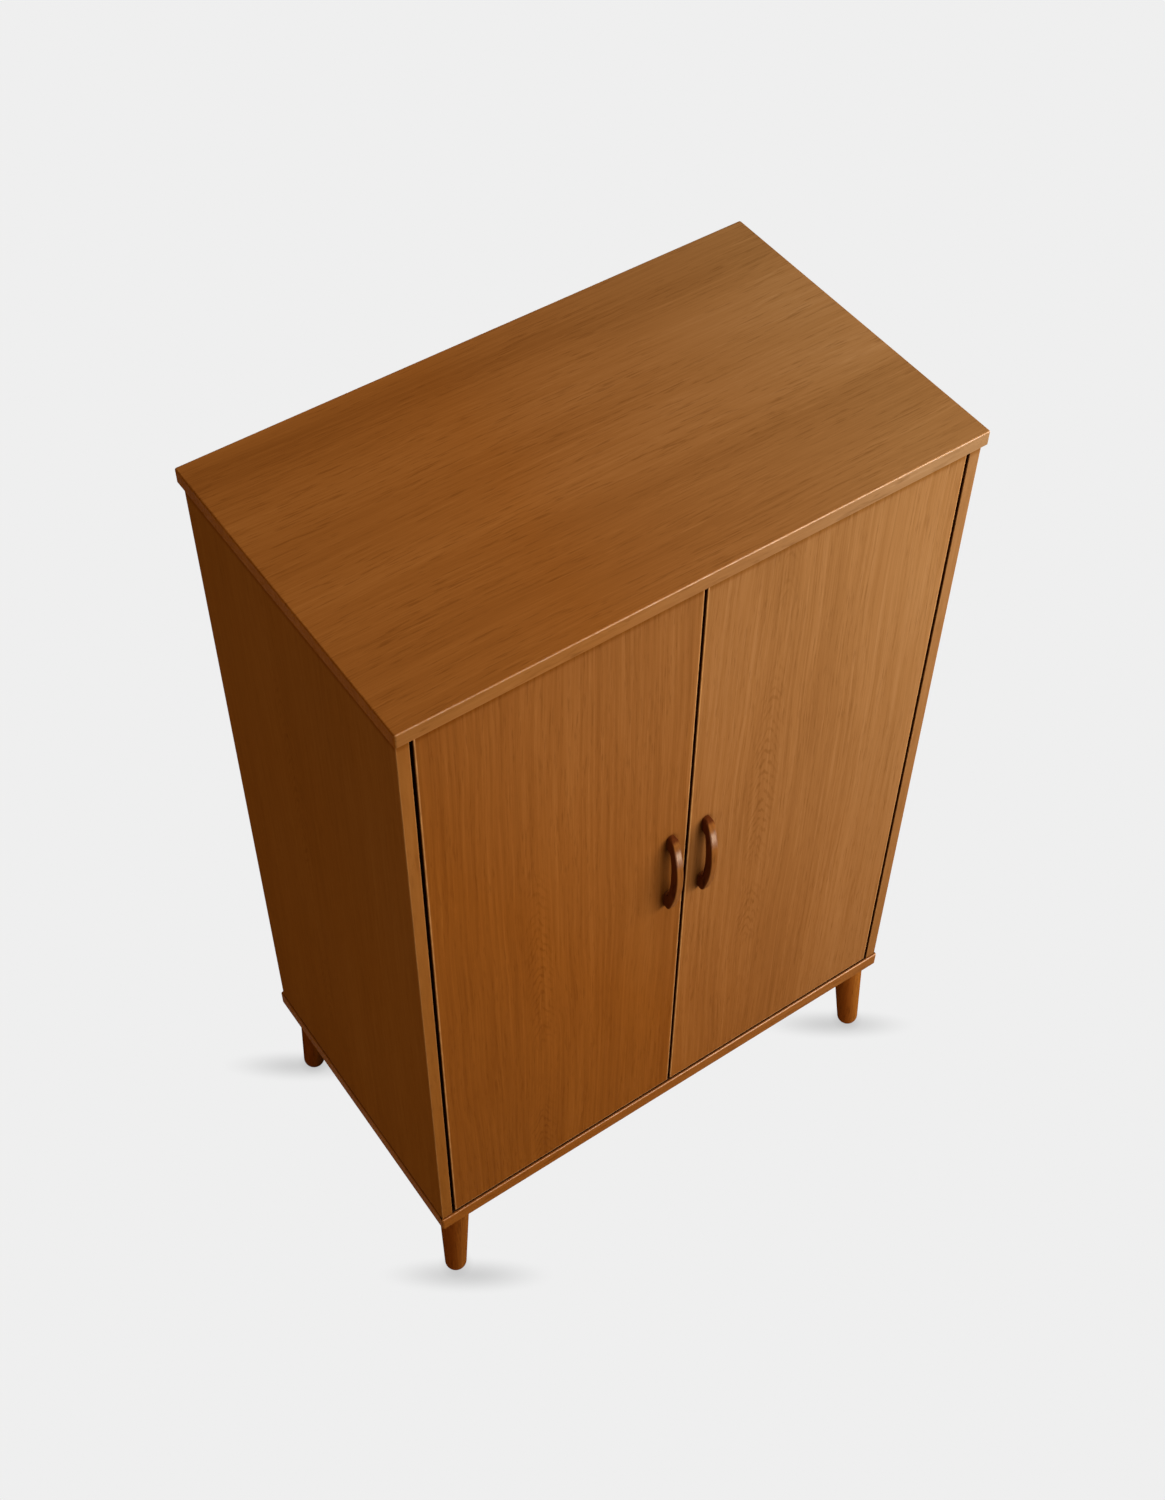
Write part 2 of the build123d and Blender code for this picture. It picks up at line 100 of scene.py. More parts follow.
def noise(tree, vector, scale, detail=2.0, roughness=0.5):  # scale is in cycles per metre on each axis
    node = tree.nodes.new("ShaderNodeTexNoise")
    feed(tree, node.inputs["Vector"], vecCalc(tree, "MULTIPLY", vector, scale))
    node.inputs["Scale"].default_value = 1.0
    node.inputs["Detail"].default_value = detail
    node.inputs["Roughness"].default_value = roughness
    return node.outputs["Fac"]


def mixColour(tree, amount, first, second):
    node = tree.nodes.new("ShaderNodeMix")
    node.data_type = "RGBA"
    feed(tree, node.inputs[0], amount)
    feed(tree, node.inputs[6], first)  # the node's two colour sockets
    feed(tree, node.inputs[7], second)
    return node.outputs[2]


def split(tree, vector):
    node = tree.nodes.new("ShaderNodeSeparateXYZ")
    feed(tree, node.inputs[0], vector)
    return node.outputs


def combine(tree, x, y, z):
    node = tree.nodes.new("ShaderNodeCombineXYZ")
    for socket, value in zip(node.inputs, (x, y, z)):
        feed(tree, socket, value)
    return node.outputs[0]


def newGroup(name, inputs, outputs):
    group = bpy.data.node_groups.new(name, "ShaderNodeTree")
    for kind, label, start in inputs:
        socket = group.interface.new_socket(name=label, in_out="INPUT", socket_type="NodeSocket" + kind)
        if start is not None:
            socket.default_value = start
    for kind, label in outputs:
        group.interface.new_socket(name=label, in_out="OUTPUT", socket_type="NodeSocket" + kind)
    return group, group.nodes.new("NodeGroupInput").outputs, group.nodes.new("NodeGroupOutput").inputs


figureNoise = {  # scales across the grain, along it and through the wood
    "wander": {"scale": (5.0, 1.4, 5.0)},
    "broad": {"scale": (12.0, 0.9, 8.0), "roughness": 0.45},
    "line": {"scale": (210.0, 2.6, 60.0), "detail": 4.0, "roughness": 0.6},
    "fibre": {"scale": (780.0, 10.0, 240.0), "detail": 3.0, "roughness": 0.6},
    "cluster": {"scale": (30.0, 5.0, 26.0)},
    "darkDash": {"scale": (520.0, 30.0, 150.0), "roughness": 0.55},
    "paleDash": {"scale": (480.0, 26.0, 150.0), "roughness": 0.55},
    "ripple": {"scale": (120.0, 22.0, 90.0), "detail": 3.0},
    "broken": {"scale": (150.0, 45.0, 80.0)},
    "stretch": {"scale": (3.0, 5.0, 1.0), "detail": 1.0},
}
figureStep = {  # where a mask begins and where it is full
    "cluster": (0.22, 0.55),
    "darkDash": (0.54, 0.70),
    "paleDash": (0.55, 0.72),
    "crest": (0.0, 0.9),
    "broken": (0.36, 0.58),
    "nearHeart": (0.004, 0.024),  # full, and gone
    "stretch": (0.44, 0.60),
}
figureShape = {
    "wander": 0.034,  # metres that the grain strays sideways
    "paleShift": (3.1, 1.7, 0.9),
    "tip": 0.000010,  # rounds the tips of the arches
    "slant": 0.38,
    "ripple": 0.012,
    "ringGap": 0.0070,
    "stretchPlace": 0.37,
}
figureWeight = {"fibre": 0.5, "arch": -0.5, "paleDash": 0.35}
figureRelief = {"fibre": 0.4, "line": 0.3, "pore": -0.8}
figureSheen = {"fibre": -0.25, "pore": 0.12}


# wood figure: X runs across the grain, Y along it
def makeWoodFigure():
    tree, given, out = newGroup(
        "woodFigure",
        [("Vector", "Vector", None), ("Float", "Heart", 0.0), ("Float", "Arches", 0.5),
         ("Float", "Bands", 0.5), ("Float", "Lines", 0.3), ("Float", "Dashes", 0.5),
         ("Color", "Pale", None), ("Color", "Mid", None), ("Color", "Deep", None), ("Color", "Pore", None)],
        [("Color", "Colour"), ("Float", "Height"), ("Float", "Sheen Break")])
    vector = given["Vector"]
    x, y, z = split(tree, vector)
    stray = centred(tree, noise(tree, vector, **figureNoise["wander"]))
    across = calc(tree, "ADD", x, product(tree, stray, figureShape["wander"]))
    flow = combine(tree, across, y, z)
    broad = noise(tree, flow, **figureNoise["broad"])
    line = noise(tree, flow, **figureNoise["line"])
    fibre = noise(tree, flow, **figureNoise["fibre"])
    # short dashes in clusters, dark ones and paler ones between them
    cluster = remap(tree, noise(tree, flow, **figureNoise["cluster"]), *figureStep["cluster"])
    darkDash = remap(tree, noise(tree, flow, **figureNoise["darkDash"]), *figureStep["darkDash"])
    shifted = vecCalc(tree, "ADD", flow, figureShape["paleShift"])
    paleDash = remap(tree, noise(tree, shifted, **figureNoise["paleDash"]), *figureStep["paleDash"])
    # broken arches nested along a heart line, in stretches
    aside = calc(tree, "SUBTRACT", across, given["Heart"])
    rounded = calc(tree, "SQRT", calc(tree, "ADD", product(tree, aside, aside), figureShape["tip"]))
    ripple = noise(tree, vector, **figureNoise["ripple"])
    ring = weigh(tree, (rounded, 1.0), (y, figureShape["slant"]), (ripple, figureShape["ripple"]))
    wave = calc(tree, "SINE", product(tree, ring, 2 * math.pi / figureShape["ringGap"]))
    crest = remap(tree, wave, *figureStep["crest"])
    broken = remap(tree, noise(tree, flow, **figureNoise["broken"]), *figureStep["broken"])
    nearHeart = falloff(tree, calc(tree, "ABSOLUTE", aside), *figureStep["nearHeart"])
    alongHeart = combine(tree, given["Heart"], y, figureShape["stretchPlace"])
    stretch = remap(tree, noise(tree, alongHeart, **figureNoise["stretch"]), *figureStep["stretch"])
    arch = product(tree, crest, broken, nearHeart, stretch)
    # tone runs from 0, deep, to 1, pale
    tone = weigh(
        tree,
        (centred(tree, broad), given["Bands"]),
        (centred(tree, line), given["Lines"]),
        (centred(tree, fibre), figureWeight["fibre"]),
        (arch, product(tree, given["Arches"], figureWeight["arch"])),
        (product(tree, paleDash, cluster), product(tree, given["Dashes"], figureWeight["paleDash"])))
    tone = calc(tree, "ADD", tone, 0.5, clamp=True)
    lower = mixColour(tree, remap(tree, tone, 0.0, 0.5, smooth=False), given["Deep"], given["Mid"])
    colour = mixColour(tree, remap(tree, tone, 0.5, 1.0, smooth=False), lower, given["Pale"])
    pore = product(tree, darkDash, cluster)
    poreShown = calc(tree, "MULTIPLY", pore, given["Dashes"], clamp=True)
    relief = {"fibre": fibre, "line": line, "pore": pore}
    sheen = {"fibre": centred(tree, fibre), "pore": pore}
    feed(tree, out["Colour"], mixColour(tree, poreShown, colour, given["Pore"]))
    feed(tree, out["Height"], weigh(tree, *[(relief[key], figureRelief[key]) for key in relief]))
    feed(tree, out["Sheen Break"], weigh(tree, *[(sheen[key], figureSheen[key]) for key in sheen]))
    return tree


arrisBreakup = {
    "patches": {"scale": (60.0, 60.0, 60.0), "detail": 3.0}, "patchStep": (0.3, 0.65), "fall": (0.2, 1.0)}


# wear and painted light on a board: 1 along its arrises, 0 away from them
def makeArrisWearAndLighting():
    tree, given, out = newGroup(
        "arrisWearAndLighting",
        [("Vector", "Vector", None), ("Vector", "Centre", None), ("Vector", "Half Size", None),
         ("Float", "Width", 0.003), ("Float", "Breakup", 0.4)],
        [("Float", "Mask"), ("Float", "Upper Mask"), ("Float", "End Mask")])
    fromCentre = vecCalc(tree, "SUBTRACT", given["Vector"], given["Centre"])
    eitherSide = vecCalc(tree, "SUBTRACT", given["Half Size"], vecCalc(tree, "ABSOLUTE", fromCentre))
    x, y, z = split(tree, eitherSide)
    fromTop = split(tree, vecCalc(tree, "SUBTRACT", given["Half Size"], fromCentre))["Z"]
    upper = calc(tree, "MAXIMUM", y, fromTop)  # distance to the upper arris at the front or back
    atEnd = calc(tree, "MAXIMUM", x, fromTop)  # and to the one at either end
    nearest = calc(tree, "MINIMUM", calc(tree, "MAXIMUM", y, z), calc(tree, "MAXIMUM", x, y))
    nearest = calc(tree, "MINIMUM", nearest, calc(tree, "MAXIMUM", x, z))
    patches = remap(tree, noise(tree, given["Vector"], **arrisBreakup["patches"]), *arrisBreakup["patchStep"])
    keep = calc(tree, "SUBTRACT", 1.0, product(tree, given["Breakup"], patches))
    for label, distance in (("Mask", nearest), ("Upper Mask", upper), ("End Mask", atEnd)):
        mask = falloff(tree, calc(tree, "DIVIDE", distance, given["Width"]), *arrisBreakup["fall"])
        feed(tree, out[label], calc(tree, "MULTIPLY", mask, keep, clamp=True))
    return tree


litSideNoise = {"patches": {"scale": (3.5, 3.5, 3.5)}, "uneven": 0.15}


# painted light and sheen: 0 where the colour stays deep, 1 where it is painted paler and yellower
def makePaintedLightSide():
    tree, given, out = newGroup(
        "paintedLightSide",
        [("Vector", "Vector", None), ("Float", "Middle", 0.3), ("Vector", "Slope", None),
         ("Float", "Least", 0.0)],
        [("Float", "Fade")])
    along = vecCalc(tree, "DOT_PRODUCT", given["Vector"], given["Slope"])
    patches = centred(tree, noise(tree, given["Vector"], **litSideNoise["patches"]))
    litSide = weigh(tree, (along, 1.0), (given["Middle"], 1.0), (patches, litSideNoise["uneven"]))
    litSide = remap(tree, litSide, 0.0, 1.0, smooth=False)
    feed(tree, out["Fade"], calc(tree, "MAXIMUM", litSide, given["Least"]))
    return tree


smears = {"cloud": {"scale": (9.0, 9.0, 9.0), "detail": 4.0, "roughness": 0.6}, "cloudWeight": 1.5,
          "speckle": {"scale": (240.0, 240.0, 240.0)}, "speckleWeight": 0.6}


# faint smears and fine speckle in the gloss
def makeHandlingMarks():
    tree, given, out = newGroup(
        "handlingMarks", [("Vector", "Vector", None), ("Float", "Base", 0.4), ("Float", "Spread", 0.1)],
        [("Float", "Roughness")])
    cloud = centred(tree, noise(tree, given["Vector"], **smears["cloud"]))
    speckle = centred(tree, noise(tree, given["Vector"], **smears["speckle"]))
    marks = weigh(tree, (cloud, smears["cloudWeight"]), (speckle, smears["speckleWeight"]))
    marks = product(tree, marks, given["Spread"])
    feed(tree, out["Roughness"], calc(tree, "ADD", given["Base"], marks, clamp=True))
    return tree


plating = {
    "rolled": {"scale": (900.0, 900.0, 60.0), "detail": 3.0, "roughness": 0.6},
    "cloudy": {"scale": (70.0, 70.0, 70.0), "detail": 3.0},
    "pits": {"scale": (2400.0, 2400.0, 2400.0), "detail": 1.0},
    "pitStep": (0.66, 0.78),
    "dullWeight": (0.7, 0.6, 0.5),  # of the streaks, the clouds and the pits
    "dullStep": (0.4, 0.95),
    "roughMiddle": 0.65,
    "roughSpread": 0.45,
    "relief": (0.4, -0.8),  # of the streaks and the pits
}


# pressed and plated steel: rolled streaks, cloudy plating and fine pits
def makePlatedSteel():
    tree, given, out = newGroup(
        "platedSteel",
        [("Vector", "Vector", None), ("Color", "Bright", None), ("Color", "Dull", None),
         ("Float", "Rough", 0.3)],
        [("Color", "Colour"), ("Float", "Roughness"), ("Float", "Height")])
    rolled = noise(tree, given["Vector"], **plating["rolled"])
    cloudy = noise(tree, given["Vector"], **plating["cloudy"])
    pits = remap(tree, noise(tree, given["Vector"], **plating["pits"]), *plating["pitStep"])
    dull = weigh(tree, *zip((rolled, cloudy, pits), plating["dullWeight"]))
    dulled = remap(tree, dull, *plating["dullStep"])
    uneven = calc(tree, "SUBTRACT", dull, plating["roughMiddle"])
    uneven = product(tree, uneven, plating["roughSpread"])
    feed(tree, out["Colour"], mixColour(tree, dulled, given["Bright"], given["Dull"]))
    feed(tree, out["Roughness"], calc(tree, "ADD", given["Rough"], uneven))
    feed(tree, out["Height"], weigh(tree, *zip((rolled, pits), plating["relief"])))
    return tree


woodFigure = makeWoodFigure()
arrisWearAndLighting = makeArrisWearAndLighting()
paintedLightSide = makePaintedLightSide()
handlingMarks = makeHandlingMarks()
platedSteel = makePlatedSteel()
print("shared shader groups made")


def place(tree, group, values):
    node = tree.nodes.new("ShaderNodeGroup")
    node.node_tree = group
    for label, value in values.items():
        feed(tree, node.inputs[label], value)
    return node.outputs


def newMaterial(name):
    material = bpy.data.materials.new(name)
    material.use_nodes = True
    tree = material.node_tree
    return material, tree, tree.nodes["Principled BSDF"].inputs


# plain Object coordinates, and the same turned and shifted for the grain
def objectCoords(tree, turn=(0.0, 0.0, 0.0), shift=(0.0, 0.0, 0.0)):
    coords = tree.nodes.new("ShaderNodeTexCoord").outputs["Object"]
    mapping = tree.nodes.new("ShaderNodeMapping")
    feed(tree, mapping.inputs["Vector"], coords)
    mapping.inputs["Rotation"].default_value = [math.radians(angle) for angle in turn]
    mapping.inputs["Location"].default_value = shift
    return coords, mapping.outputs["Vector"]


def bump(tree, surface, height, strength, distance):
    node = tree.nodes.new("ShaderNodeBump")
    node.inputs["Strength"].default_value = strength
    node.inputs["Distance"].default_value = distance
    feed(tree, node.inputs["Height"], height)
    feed(tree, surface["Normal"], node.outputs["Normal"])


def nearness(tree, reach, samples):  # 0 where another surface is close, 1 in the open
    node = tree.nodes.new("ShaderNodeAmbientOcclusion")
    node.samples = samples
    node.inputs["Distance"].default_value = reach
    return node.outputs["AO"]


def tint(colour, level=1.0):
    return (colour[0] * level, colour[1] * level, colour[2] * level, 1.0)


def shadesOf(look, level=1.0):
    return {shade.title(): tint(look[shade], level) for shade in ("pale", "mid", "deep", "pore")}


def dress(name, material):
    mesh = nodes[name].data
    for index in range(len(mesh.materials)):
        mesh.materials[index] = material


white = (1.0, 1.0, 1.0)
alongX, alongZ, sideways = (0, 0, 90), (-90, 0, 0), (-90, -90, 0)  # turns that lay the grain along the piece

veneer = {
    "pale": (0.345, 0.128, 0.0300),
    "mid": (0.268, 0.091, 0.0178),
    "deep": (0.188, 0.058, 0.0095),
    "pore": (0.140, 0.040, 0.0060),
    # edge: the upright boards' arrises, paler from wear and a painted highlight; arris: a painted highlight
    # on the level boards' upper arris; endArris: painted shade along the arris at their ends
    "edge": (0.640, 0.290, 0.0900),
    "arris": (0.720, 0.390, 0.1800),
    "endArris": (0.62, 0.50, 0.20),
    "breakup": 0.35,
    "gloss": 0.47,
    "spread": 0.12,
    "coatRoughness": 0.2,
    "bump": (0.30, 0.0002),
}
arrisLight = {"from": -0.36, "to": 0.2, "least": 0.5, "most": 1.0}  # the painted highlight on a level board's upper arris is strongest at its right
litSideTint = {"deep": (1.0, 0.86, 0.50), "pale": (1.12, 1.48, 2.25)}  # painted light and sheen: how the colour turns paler and yellower towards the lit side
topFigure = {
    "turn": alongX, "arches": 0.3, "bands": 1.0, "lines": 0.6, "dashes": 0.42,
    "specular": 0.002, "edge": 0.7, "edgeWidth": 0.0017}
doorFigure = {
    "turn": alongZ, "arches": 0.6, "bands": 0.8, "lines": 1.0, "dashes": 0.30,
    "specular": 0.002, "edge": 0.9, "edgeWidth": 0.0026}
sideFigure = {
    "turn": sideways, "arches": 0.4, "bands": 0.4, "lines": 0.45, "dashes": 0.20,
    "specular": 0.0, "edge": 0.3, "edgeWidth": 0.0018, "lipping": (1.05, 1.18, 1.45)}
shelfFigure = {
    "turn": alongX, "arches": 0.6, "bands": 1.1, "lines": 0.7, "dashes": 0.40,
    "specular": 0.01, "edge": 0.5, "edgeWidth": 0.0018}
backFigure = {
    "turn": alongZ, "arches": 0.4, "bands": 0.8, "lines": 0.6, "dashes": 0.30,
    "specular": 0.01, "edge": 0.2, "edgeWidth": 0.0018}
boards = {  # each board is cut from its own place in the figure, and has its own slope of painted light and sheen
    "top_panel": {
        **topFigure, "shift": (0.31, 0.12, 0.0), "heart": 0.40, "litSide": (0.38, (2.0, -0.3, 0.0)),
        "least": 0.18, "lipping": (1.07, 1.26, 1.70), "ends": (1.06, 0.93, 0.56)},
    "bottom_panel": {
        **topFigure, "shift": (0.92, 2.70, 0.0), "heart": 0.60, "litSide": (0.10, (0.5, 0.0, 0.0)),
        "edge": 0.95},
    "left_door": {
        **doorFigure, "shift": (0.0, 0.0, 0.0), "heart": -0.205, "litSide": (-0.18, (1.3, 0.0, 0.65)),
        "tone": 0.935},
    "right_door": {
        **doorFigure, "shift": (0.0, 4.1, 0.0), "heart": 0.105, "litSide": (-0.02, (1.3, 0.0, 0.65))},
    "left_side_panel": {
        **sideFigure, "shift": (0.0, 7.3, 0.0), "heart": 0.05, "litSide": (0.03, (0.0, 0.0, 0.05))},
    "right_side_panel": {
        **sideFigure, "shift": (0.0, 9.6, 0.0), "heart": -0.06, "litSide": (0.25, (0.0, 0.0, 0.45))},
    "lower_shelf": {**shelfFigure, "shift": (1.7, 1.1, 0.0), "heart": 0.1, "litSide": (0.15, (0.3, 0.0, 0.0))},
    "fixed_shelf": {**shelfFigure, "shift": (2.6, 2.3, 0.0), "heart": 0.1, "litSide": (0.20, (0.3, 0.0, 0.0))},
    "middle_shelf": {**shelfFigure, "shift": (3.8, 3.4, 0.0), "heart": 0.1, "litSide": (0.17, (0.3, 0.0, 0.0))},
    "upper_shelf": {**shelfFigure, "shift": (4.9, 4.8, 0.0), "heart": 0.1, "litSide": (0.22, (0.3, 0.0, 0.0))},
    "back_panel": {**backFigure, "shift": (5.3, 6.2, 0.0), "heart": 0.0, "litSide": (0.25, (0.4, 0.0, 0.0))},
}
sillShadeLine = {"colour": (0.030, 0.012, 0.005), "front": (-0.0006, 0.0002), "back": (0.003, 0.006), "skin": 0.001}


def sillShade(tree, coords):  # painted shade on the bottom board in the gap under the doors
    position = split(tree, coords)
    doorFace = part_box("left_door")[0].y
    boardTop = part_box("bottom_panel")[1].z
    behind = remap(tree, position["Y"], *[doorFace + step for step in sillShadeLine["front"]])
    near = falloff(tree, position["Y"], *[doorFace + step for step in sillShadeLine["back"]])
    onTop = calc(tree, "GREATER_THAN", position["Z"], boardTop - sillShadeLine["skin"])
    return product(tree, behind, near, onTop)


crevice = {
    "reach": 0.014, "samples": 8,
    "gapShade": (0.032, 0.011, 0.0030), "gapShadeStep": (0.24, 0.52),  # painted shade, near black, where two boards nearly meet
    "cornerShade": (0.50, 0.43, 0.34), "cornerShadeStep": (0.45, 0.95),  # painted shade, darker and dull, in the corners
}


def creviceShade(tree, colour):  # painted shade: near black in a narrow gap, darker in a corner, untouched on an open face
    near = nearness(tree, crevice["reach"], crevice["samples"])
    cornerOpen = remap(tree, near, *crevice["cornerShadeStep"])
    cornerShade = mixColour(tree, cornerOpen, tint(crevice["cornerShade"]), tint(white))
    opened = remap(tree, near, *crevice["gapShadeStep"])
    return mixColour(tree, opened, tint(crevice["gapShade"]), vecCalc(tree, "MULTIPLY", colour, cornerShade))


lippingDepth = {"begin": 0.0012, "full": 0.0004}  # how far in from a board's edge its strip reaches


def edgeStrip(tree, position, edge, inward, colour, change):  # own tone on one edge of a board
    begin = edge + inward * lippingDepth["begin"]
    full = edge + inward * lippingDepth["full"]
    onEdge = remap(tree, position, begin, full)
    return mixColour(tree, onEdge, colour, vecCalc(tree, "MULTIPLY", colour, change))


overhangShade = {"full": 0.0080, "none": 0.0175, "colour": (0.74, 0.62, 0.40)}  # painted shadow on the doors and sides just under the top's edge


def overhangShadow(tree, coords, colour):
    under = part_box("top_panel")[0].z
    line = remap(tree, split(tree, coords)["Z"], under - overhangShade["none"], under - overhangShade["full"])
    return mixColour(tree, line, colour, vecCalc(tree, "MULTIPLY", colour, overhangShade["colour"]))


def veneerBoard(name, look):
    material, tree, surface = newMaterial(name + "Veneer")
    coords, grain = objectCoords(tree, look["turn"], look["shift"])
    position = split(tree, coords)
    low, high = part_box(name)
    level = look["turn"] == alongX
    middle, slope = look["litSide"]
    figure = place(tree, woodFigure, {
        "Vector": grain, "Heart": look["heart"] + look["shift"][0], "Arches": look["arches"],
        "Bands": look["bands"], "Lines": look["lines"], "Dashes": look["dashes"],
        **shadesOf(veneer, look.get("tone", 1.0))})
    litSideMask = place(tree, paintedLightSide, {
        "Vector": coords, "Middle": middle, "Slope": slope, "Least": look.get("least", 0.0)})
    paintedLighting = place(tree, arrisWearAndLighting, {
        "Vector": coords, "Centre": (low + high) / 2, "Half Size": (high - low) / 2,
        "Width": look["edgeWidth"], "Breakup": veneer["breakup"]})
    marks = place(tree, handlingMarks, {
        "Vector": coords, "Base": veneer["gloss"], "Spread": veneer["spread"]})
    # painted light and sheen on the board's colour
    change = mixColour(tree, litSideMask["Fade"], tint(litSideTint["deep"]), tint(litSideTint["pale"]))
    colour = vecCalc(tree, "MULTIPLY", figure["Colour"], change)
    if "lipping" in look:
        colour = edgeStrip(tree, position["Y"], low.y, 1, colour, look["lipping"])
    if "ends" in look:
        colour = edgeStrip(tree, position["X"], low.x, 1, colour, look["ends"])
        colour = edgeStrip(tree, position["X"], high.x, -1, colour, look["ends"])
        # painted shade: a darker line along the upper arris at each end
        darker = vecCalc(tree, "MULTIPLY", colour, veneer["endArris"])
        colour = mixColour(tree, paintedLighting["End Mask"], colour, darker)
    if level:
        # painted highlight: the upper arris of a level board is painted paler, most at its right
        arrisLightShare = remap(tree, position["X"], arrisLight["from"], arrisLight["to"], arrisLight["least"], arrisLight["most"])
        paleArris = product(tree, paintedLighting["Upper Mask"], look["edge"], arrisLightShare)
        # a coat on the rounded upper arris catches the lamps' highlight, on the same share
        feed(tree, surface["Coat Weight"], product(tree, paintedLighting["Upper Mask"], arrisLightShare))
        surface["Coat Roughness"].default_value = veneer["coatRoughness"]
    else:
        # the arrises of an upright board are painted paler, partly wear and partly painted highlight
        paleArris = product(tree, paintedLighting["Mask"], look["edge"])
        colour = overhangShadow(tree, coords, colour)
    colour = creviceShade(tree, mixColour(tree, paleArris, colour, tint(veneer["arris" if level else "edge"])))
    if name == "bottom_panel":
        colour = mixColour(tree, sillShade(tree, coords), colour, tint(sillShadeLine["colour"]))
    feed(tree, surface["Base Color"], colour)
    rough = calc(tree, "ADD", marks["Roughness"], figure["Sheen Break"], clamp=True)
    feed(tree, surface["Roughness"], rough)
    surface["Specular IOR Level"].default_value = look["specular"]
    bump(tree, surface, figure["Height"], *veneer["bump"])
    return material


for boardName, boardLook in boards.items():
    dress(boardName, veneerBoard(boardName, boardLook))
print("boards veneered:", len(boards))

solidWood = {
    # painted shade: the handles' wood colours are dark, as on the bow's shaded sides
    "handles": {
        "nodes": ["left_handle", "right_handle"], "form": "bow", "specular": 0.002, "gloss": 0.40,
        "pale": (0.140, 0.036, 0.0080), "mid": (0.105, 0.025, 0.0052),
        "deep": (0.070, 0.015, 0.0030), "pore": (0.040, 0.009, 0.002)},
    "legs": {
        "nodes": ["front_left_leg", "front_right_leg", "back_left_leg", "back_right_leg"],
        "form": "leg", "specular": 0.0, "gloss": 0.42,
        "pale": (0.345, 0.112, 0.0165), "mid": (0.262, 0.077, 0.0100),
        "deep": (0.160, 0.039, 0.0045), "pore": (0.103, 0.024, 0.0030)},
    "dowels": {
        "nodes": ["carcass_dowels", "shelf_dowels"], "form": "pin", "specular": 0.3, "gloss": 0.65,
        "pale": (0.640, 0.470, 0.290), "mid": (0.560, 0.400, 0.235),
        "deep": (0.470, 0.320, 0.180), "pore": (0.330, 0.210, 0.110)},
}
solidFigure = {"Heart": 0.0, "Arches": 0.3, "Bands": 1.6, "Lines": 0.9, "Dashes": 0.5}
solidFinish = {"spread": 0.15, "bump": (0.25, 0.0002)}
cutStep = (0.7, 1.9, 0.0)  # from one piece's place in the figure to the next
legShading = {  # painted shade and light across a leg, from left to right
    "from": -0.85, "to": 0.30, "deep": (0.80, 0.60, 0.42), "pale": (1.06, 1.10, 1.08)}
# painted light and shade on the handles: the tint that makes the bow's outside paler than its dark sides,
# and the band that carries the coat
bowShading = {
    "paintedLighting": (2.30, 3.25, 3.00), "outside": (-0.55, -0.92),
    "polishRise": (0.024, 0.037), "polishFall": (0.048, 0.058), "coatRoughness": 0.16}


def solidWoodPiece(name, look, shift):
    material, tree, surface = newMaterial(name + "Wood")
    coords, grain = objectCoords(tree, alongZ, shift)
    figure = place(tree, woodFigure, {"Vector": grain, **solidFigure, **shadesOf(look)})
    marks = place(tree, handlingMarks, {
        "Vector": coords, "Base": look["gloss"], "Spread": solidFinish["spread"]})
    facing = split(tree, tree.nodes.new("ShaderNodeTexCoord").outputs["Normal"])
    colour = figure["Colour"]
    if look["form"] == "leg":  # painted light and shade: the side facing right is paler, the side facing left darker
        lit = remap(tree, facing["X"], legShading["from"], legShading["to"])
        change = mixColour(tree, lit, tint(legShading["deep"]), tint(legShading["pale"]))
        colour = vecCalc(tree, "MULTIPLY", colour, change)
    if look["form"] == "bow":  # painted light and shade: the bow's colour is dark as on its shaded sides, and its outside is painted paler as where it is lit; a coat on a band of its upper half carries a highlight
        low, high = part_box(name)
        outside = remap(tree, facing["Y"], *bowShading["outside"])
        colour = mixColour(tree, outside, colour, vecCalc(tree, "MULTIPLY", colour, bowShading["paintedLighting"]))
        height = calc(tree, "SUBTRACT", split(tree, coords)["Z"], (low.z + high.z) / 2)
        rise = remap(tree, height, *bowShading["polishRise"])
        fall = falloff(tree, height, *bowShading["polishFall"])
        feed(tree, surface["Coat Weight"], product(tree, outside, rise, fall))
        surface["Coat Roughness"].default_value = bowShading["coatRoughness"]
    feed(tree, surface["Base Color"], colour)
    rough = calc(tree, "ADD", marks["Roughness"], figure["Sheen Break"], clamp=True)
    feed(tree, surface["Roughness"], rough)
    surface["Specular IOR Level"].default_value = look["specular"]
    bump(tree, surface, figure["Height"], *solidFinish["bump"])
    return material


for woodLook in solidWood.values():
    for count, nodeName in enumerate(woodLook["nodes"]):
        cutAt = [count * step for step in cutStep]
        dress(nodeName, solidWoodPiece(nodeName, woodLook, cutAt))
print("handles, legs and dowels finished")

steels = {
    "nickelSteel": {"bright": (0.66, 0.64, 0.60), "dull": (0.50, 0.48, 0.44), "rough": 0.30},
    "zincSteel": {"bright": (0.70, 0.71, 0.72), "dull": (0.52, 0.53, 0.55), "rough": 0.36},
}
steelBump = (0.15, 0.0001)
zincNodes = ("shelf_pins", "leg_bolts", "leg_inserts", "left_strike_plate", "right_strike_plate")


def steel(name):
    look = steels[name]
    material, tree, surface = newMaterial(name)
    plated = place(tree, platedSteel, {
        "Vector": objectCoords(tree)[0], "Bright": tint(look["bright"]), "Dull": tint(look["dull"]),
        "Rough": look["rough"]})
    feed(tree, surface["Base Color"], plated["Colour"])
    feed(tree, surface["Roughness"], plated["Roughness"])
    surface["Metallic"].default_value = 1.0
    bump(tree, surface, plated["Height"], *steelBump)
    return material


